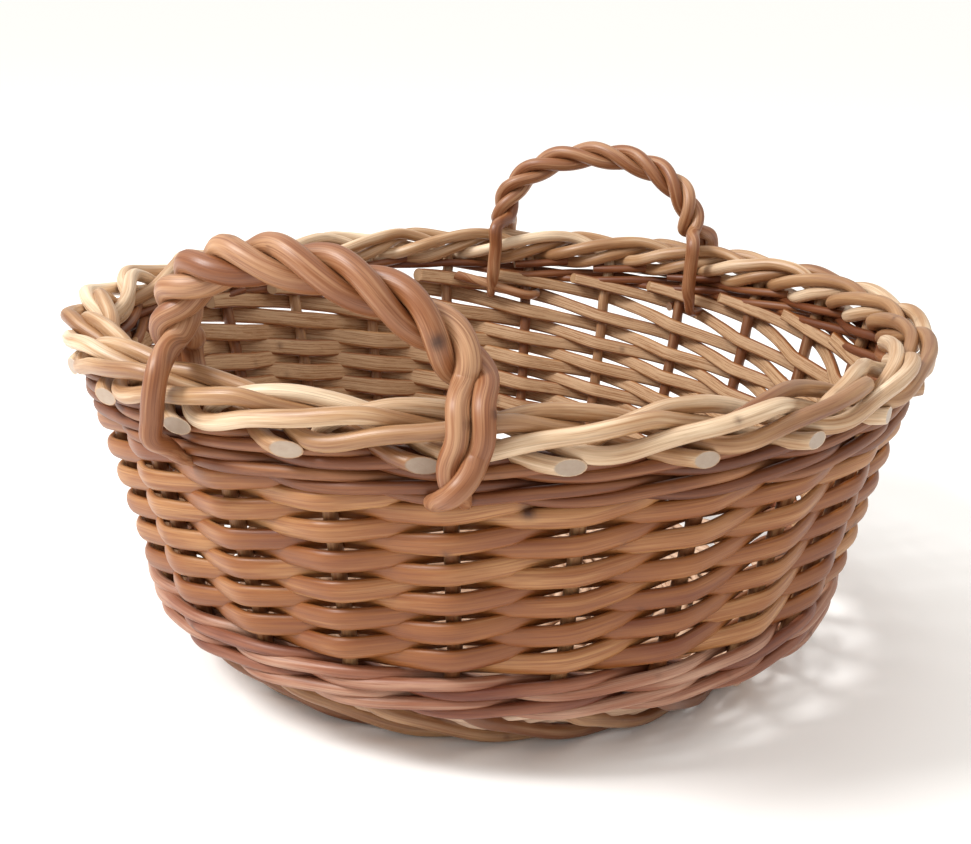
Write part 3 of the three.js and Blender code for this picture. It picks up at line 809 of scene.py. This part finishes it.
# %% Top wale
FRONT_WALE_ROD = 5.2 * MM
BACK_WALE_ROD = 4.4 * MM
ABOVE_WEAVE = 1.5 * MM
BACK_LIFT = 9.0 * MM
BELOW_BORDER = 1.2 * MM
TOP_WALE_STEP = 0.045
top_rods = []
for number in range(3):
    turn = wale_turns(number, TOP_WALE_STEP)
    back = backness(turn + SEAM)
    thickness = FRONT_WALE_ROD + (BACK_WALE_ROD - FRONT_WALE_ROD) * back
    low = weave_top + ABOVE_WEAVE + BACK_LIFT * back
    high = border_low - BELOW_BORDER + BELOW_BORDER * back
    path = wale_path(turn, number, low, high, thickness)
    thin_rod = rod(
        f"top_wale_rod_{number + 1}", path, thickness, outward_from_axis(path), 520 + number, wale_willow_painted_shade,
        slants=(0.5, 0.5),
    )
    top_rods.append(thin_rod)
join(top_rods, "top_wale_thin_rods", "top_wale_rod")
print("Top wale in front from", round(low.min() / MM, 1), "to", round(high.min() / MM, 1), "mm")

# %% [markdown]
# ## Handles
#
# A handle is a rope of three thick strands over an arch. Each strand's axis circles the arch at a distance
# that lets the three touch. Near the border the strands part: some go down outside it and some inside, and
# all are tucked into the wall below the top wale.

# %% Handle measures
# Left and right are as seen from outside the basket. For each handle, lean is how far its arch leans to the
# left, strand and leg are a strand's thickness in the rope and below it, and reach is how far its axis lies
# from the arch. Phase is where the first strand starts round the arch, in radians from outward, and thirds is
# how many thirds of a turn it makes. Inner_top and inner_tuck move the tops and the tails of the legs inside
# the border along it, first for the left leg and then for the right.
TAIL = 4.8 * MM
HALF_SPREAD = np.radians(17.5)
HANDLE_RISE = 45 * MM
LAST_WRAP = np.pi / 3
OUTER_LANE = 1.12
INNER_LANE = 1.86
border_outside = RIM_AXIS + OUTER_LANE * LANE + STAKE / 2
border_inside = RIM_AXIS - INNER_LANE * LANE - STAKE / 2
rope_radius = (border_outside + border_inside) / 2
half_span = HALF_SPREAD * rope_radius
tuck_height = weave_top + 2.5 * MM
handles = {
    "front_handle": {
        "angle": np.radians(-110),
        "lean": 16 * MM,
        "strand": 9.2 * MM,
        "reach": 5.5 * MM,
        "leg": 8.8 * MM,
        "phase": -LAST_WRAP,
        "thirds": 7.5,
        "inner_top": (-30 * MM, 0.0),
        "inner_tuck": (-12 * MM, 0.0),
        "shows_inside": False,
        "tone": 0.06,
    },
    "back_handle": {
        "angle": np.radians(72),
        "lean": 0.0,
        "strand": 7.2 * MM,
        "reach": 4.3 * MM,
        "leg": 7.6 * MM,
        "phase": np.pi - LAST_WRAP,
        "thirds": 8.0,
        "inner_top": (-12 * MM, 5 * MM),
        "inner_tuck": (0.0, 10 * MM),
        "shows_inside": True,
        # Painted light: this larger lift makes the back handle's strands lighter than the front's, standing
        # in for light on their shaded side.
        "tone": 0.18,
    },
}
print("Handles span", round(2 * half_span / MM), "mm over the border")

# %% Rope
LEFT_LEAN = 0.6
RIGHT_LEAN = 0.15
ROPE_FOOT = 1.2
ROPE_STATIONS = 61
NEARBY = 1e-3


def arch(handle, along):
    """Half an ellipse over the border that leans to the left, most at its top and least at its right foot."""
    sweep = along * np.pi
    foot = rim_top + handle["strand"] * ROPE_FOOT
    foot_lean = LEFT_LEAN + (RIGHT_LEAN - LEFT_LEAN) * (1 - np.cos(sweep)) / 2
    across = -half_span * np.cos(sweep) - handle["lean"] * (foot_lean + (1 - foot_lean) * np.sin(sweep))
    return across, foot + (rim_top + HANDLE_RISE - foot) * np.sin(sweep)


def rope_points(handle, strand, along):
    """Strand axis = arch + reach * (outward * cos(phase) + square to the arch * sin(phase))."""
    phase = handle["phase"] + 2 * np.pi / 3 * (strand - handle["thirds"] * along)
    ahead, behind = arch(handle, along + NEARBY), arch(handle, along - NEARBY)
    run = np.stack([ahead[0] - behind[0], ahead[1] - behind[1]])
    run /= np.linalg.norm(run, axis=0)
    across, height = arch(handle, along)
    across = across - run[1] * handle["reach"] * np.sin(phase)
    height = height + run[0] * handle["reach"] * np.sin(phase)
    radius = rope_radius + handle["reach"] * np.cos(phase)
    return cylinder(handle["angle"] + across / rope_radius, radius, height), phase


peak = arch(handles["front_handle"], 0.5)[1]
print("The front arch rises", round((peak - rim_top) / MM, 1), "mm over the border")

# %% Leg measures
# A leg comes to 8 mm from the stakes' axes. Its tail is tucked in from 4 mm on its side to 1 mm on the other.
# A place of the inside tail is a run along the wall, a distance inward from the stakes' axes and a rise, in
# millimetres.
CROSSING_START = 0.2
BESIDE_STAKE = 6.2 * MM
SINGLE_BESIDE_STAKE = 12.0 * MM
OUTER_BOW = 2.8 * MM
INNER_BOW = 0.3 * MM
TUCKED_REACH = 8 * MM
STUB_REACH = 4 * MM
STUB_DEPTH = 1 * MM
INSIDE_TAIL = [(3, 6.5, 0), (12, 10.6, 2), (24, 10.8, 5), (36, 10.8, 8), (50, 8.5, 11)]
INSIDE_TAIL_SIZE = TAIL * 1.15
leg_bottom = tuck_height + 1 * MM
wale_clear = top_wale_top + 0.3 * MM
print("The legs' tails lie at", round(tuck_height / MM, 1), "mm")


# %% Legs
def leg_points(handle, phase, away):
    """Places and thicknesses of one leg, from the rope down to its tail.

    The strands nearest each other on one side of the border make a pair, which changes places on the way
    down: shift = half gap * cos(crossing), and the one on top stands off the other by gap * sin(crossing)."""
    phase = phase - away * LAST_WRAP
    side = 1 if np.cos(phase) > 0 else -1
    is_pair = abs(np.sin(phase)) > 0.5
    facing = away * np.sign(np.sin(phase)) if is_pair else 0
    is_over = side * facing > 0
    leg = handle["leg"]
    leg_angle = handle["angle"] + away * HALF_SPREAD
    nearest = FIRST_STAKE + round((leg_angle - FIRST_STAKE) / SPACING) * SPACING
    tuck_angle = nearest + (0 if is_pair else away * SINGLE_BESIDE_STAKE / rope_radius)
    if side < 0:
        leg_angle += handle["inner_top"][away > 0] / rope_radius
        tuck_angle += handle["inner_tuck"][away > 0] / rope_radius
    border = (border_outside if side > 0 else border_inside) + side * leg / 2
    bowed = border + side * (OUTER_BOW if side > 0 else INNER_BOW)
    tucked = wall_radius(tuck_height) + side * TUCKED_REACH

    def place(down, radius, height, half_gap, thickness):
        """One station: down is the share of the way from the rope to the tail."""
        crossing = np.pi * np.clip((down - CROSSING_START) / (1 - CROSSING_START), 0, 1)
        shift = facing * half_gap * np.cos(crossing)
        over = side * 2 * half_gap * np.sin(crossing) if is_over else 0
        angle = leg_angle + (tuck_angle - leg_angle) * down + shift / radius
        return cylinder(angle, radius + over, height), thickness

    stations = [place(0, border - side * leg * 0.06, rim_top + leg * 0.3, leg / 2, leg)]
    leg_top = rim_top - leg
    for down in np.linspace(0, 1, 7):
        height = leg_top + (leg_bottom - leg_top) * down
        below = max((wale_clear - height) / (wale_clear - leg_bottom), 0)
        half_gap = leg / 2 * (1 - below) + BESIDE_STAKE * below
        size = leg + (TAIL - leg) * below**1.5
        stations.append(place(down, bowed + (tucked - bowed) * below, height, half_gap, size))
    for outward in (side * STUB_REACH, -side * STUB_DEPTH):
        stations.append(place(1, wall_radius(tuck_height) + outward, tuck_height, BESIDE_STAKE, TAIL))
    if handle["shows_inside"] and is_over and away > 0:
        start = tuck_angle - facing * BESIDE_STAKE / rope_radius
        for run, inward, rise in INSIDE_TAIL:
            angle = start + run * MM / rope_radius
            height = tuck_height + rise * MM
            stations.append((cylinder(angle, wall_radius(height) - inward * MM, height), INSIDE_TAIL_SIZE))
    return stations


front_run = rim_top - handles["front_handle"]["leg"] - leg_bottom
print("A front leg runs down", round(front_run / MM, 1), "mm")


# %% Handle strands
def end_facing(path):
    """Outward along most of a strand, turning sideways over the tenth of its length at each end."""
    outward = outward_from_axis(path)
    sideways = np.cross((0, 0, 1), outward)
    share = np.linspace(0, 1, len(path))[:, None]
    near_end = np.clip(1 - np.minimum(share, 1 - share) / 0.1, 0, 1)
    return outward * (1 - near_end) + sideways * near_end


along = np.linspace(0, 1, ROPE_STATIONS)
for name, handle in handles.items():
    for strand in range(3):
        rope, phase = rope_points(handle, strand, along)
        left = leg_points(handle, phase[0], -1)[::-1]
        right = leg_points(handle, phase[-1], 1)
        knots = [point for point, _ in left] + list(rope) + [point for point, _ in right]
        sizes = [size for _, size in left] + [handle["strand"]] * len(rope) + [size for _, size in right]
        path = spline(knots, PATH_STEP)
        places = distances(np.array(knots))
        thickness = np.interp(np.linspace(0, places[-1], len(path)), places, sizes)
        seed = 600 + 10 * list(handles).index(name) + strand
        piece = rod(
            f"{name}_strand_{strand + 1}_rod", path, thickness, end_facing(path), seed, handle_willow,
            slants=(0.4, 0.4), scar_gap=0.05, tone_shift=handle["tone"], tone_range=0.2,
        )
        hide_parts(f"{name}_strand_{strand + 1}")
    print(name, "rises to", round(max(knot[2] for knot in knots) / MM), "mm")

# %% [markdown]
# ## Base
#
# The floor starts as crossed sticks. Pairs of thin rods are woven round them, one over and one under each
# stick, changing places between the sticks. The weave is one long pair that winds outward in a spiral. Past
# the sticks it climbs along the inside of the foot and closes the floor against the wall.

# %% Base sticks
BASE_STICKS = 8
BASE_STICK = 5.0 * MM
STICK_INSET = 6 * MM
STICK_STEP = 0.4 * MM
base_radius = FOOT_AXIS - STAKE / 2
base_height = (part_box("base_sticks")[0][2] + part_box("base_weave")[1][2]) / 2

sticks = []
for stick in range(BASE_STICKS):
    angle = stick * np.pi / BASE_STICKS
    reach = np.linspace(-1, 1, 120)[:, None] * (base_radius - STICK_INSET)
    level = np.array([0, 0, base_height - STICK_STEP * (stick % 2)])
    path = reach * np.array([np.cos(angle), np.sin(angle), 0]) + level
    name = f"base_stick_{stick + 1}"
    sticks.append(rod(name, path, BASE_STICK, upward(path), 700 + stick, base_willow))
join(sticks, "base_crossed_sticks", "base_sticks")
print("Base sticks lie at", round(base_height / MM, 1), "mm")

# %% Base weave
# A pair's rods swing up and down over the sticks, and in and out between them, as they change places.
PAIR_ROD = 3.6 * MM
EYE = 22 * MM
WEAVE_EDGE = 148 * MM
FOOT_GAP = 7 * MM
ROUND_PITCH = PAIR_ROD * 1.75
OUT_SWING = 0.42
UP_SWING = 0.36
WEAVE_STEP = 0.045
rounds = (WEAVE_EDGE - EYE) / ROUND_PITCH
angle = np.arange(0, rounds * 2 * np.pi, WEAVE_STEP)
pairs = []
for member in (0, 1):
    swing = np.cos(BASE_STICKS * angle + member * np.pi)
    weave = np.sin(BASE_STICKS * angle + member * np.pi)
    radius = EYE + ROUND_PITCH * angle / (2 * np.pi) + weave * PAIR_ROD * OUT_SWING
    level = np.maximum(base_height, STAKE / 2 + (radius + FOOT_GAP - FOOT_AXIS) / foot_slope)
    path = cylinder(angle, radius, level + swing * (BASE_STICK + PAIR_ROD) * UP_SWING)
    name = f"base_pair_{member + 1}"
    pairs.append(rod(name, path, PAIR_ROD, upward(path), 720 + member, base_willow))
join(pairs, "base_paired_weave", "base_weave")
print("The base weave has", round(rounds, 1), "rounds")
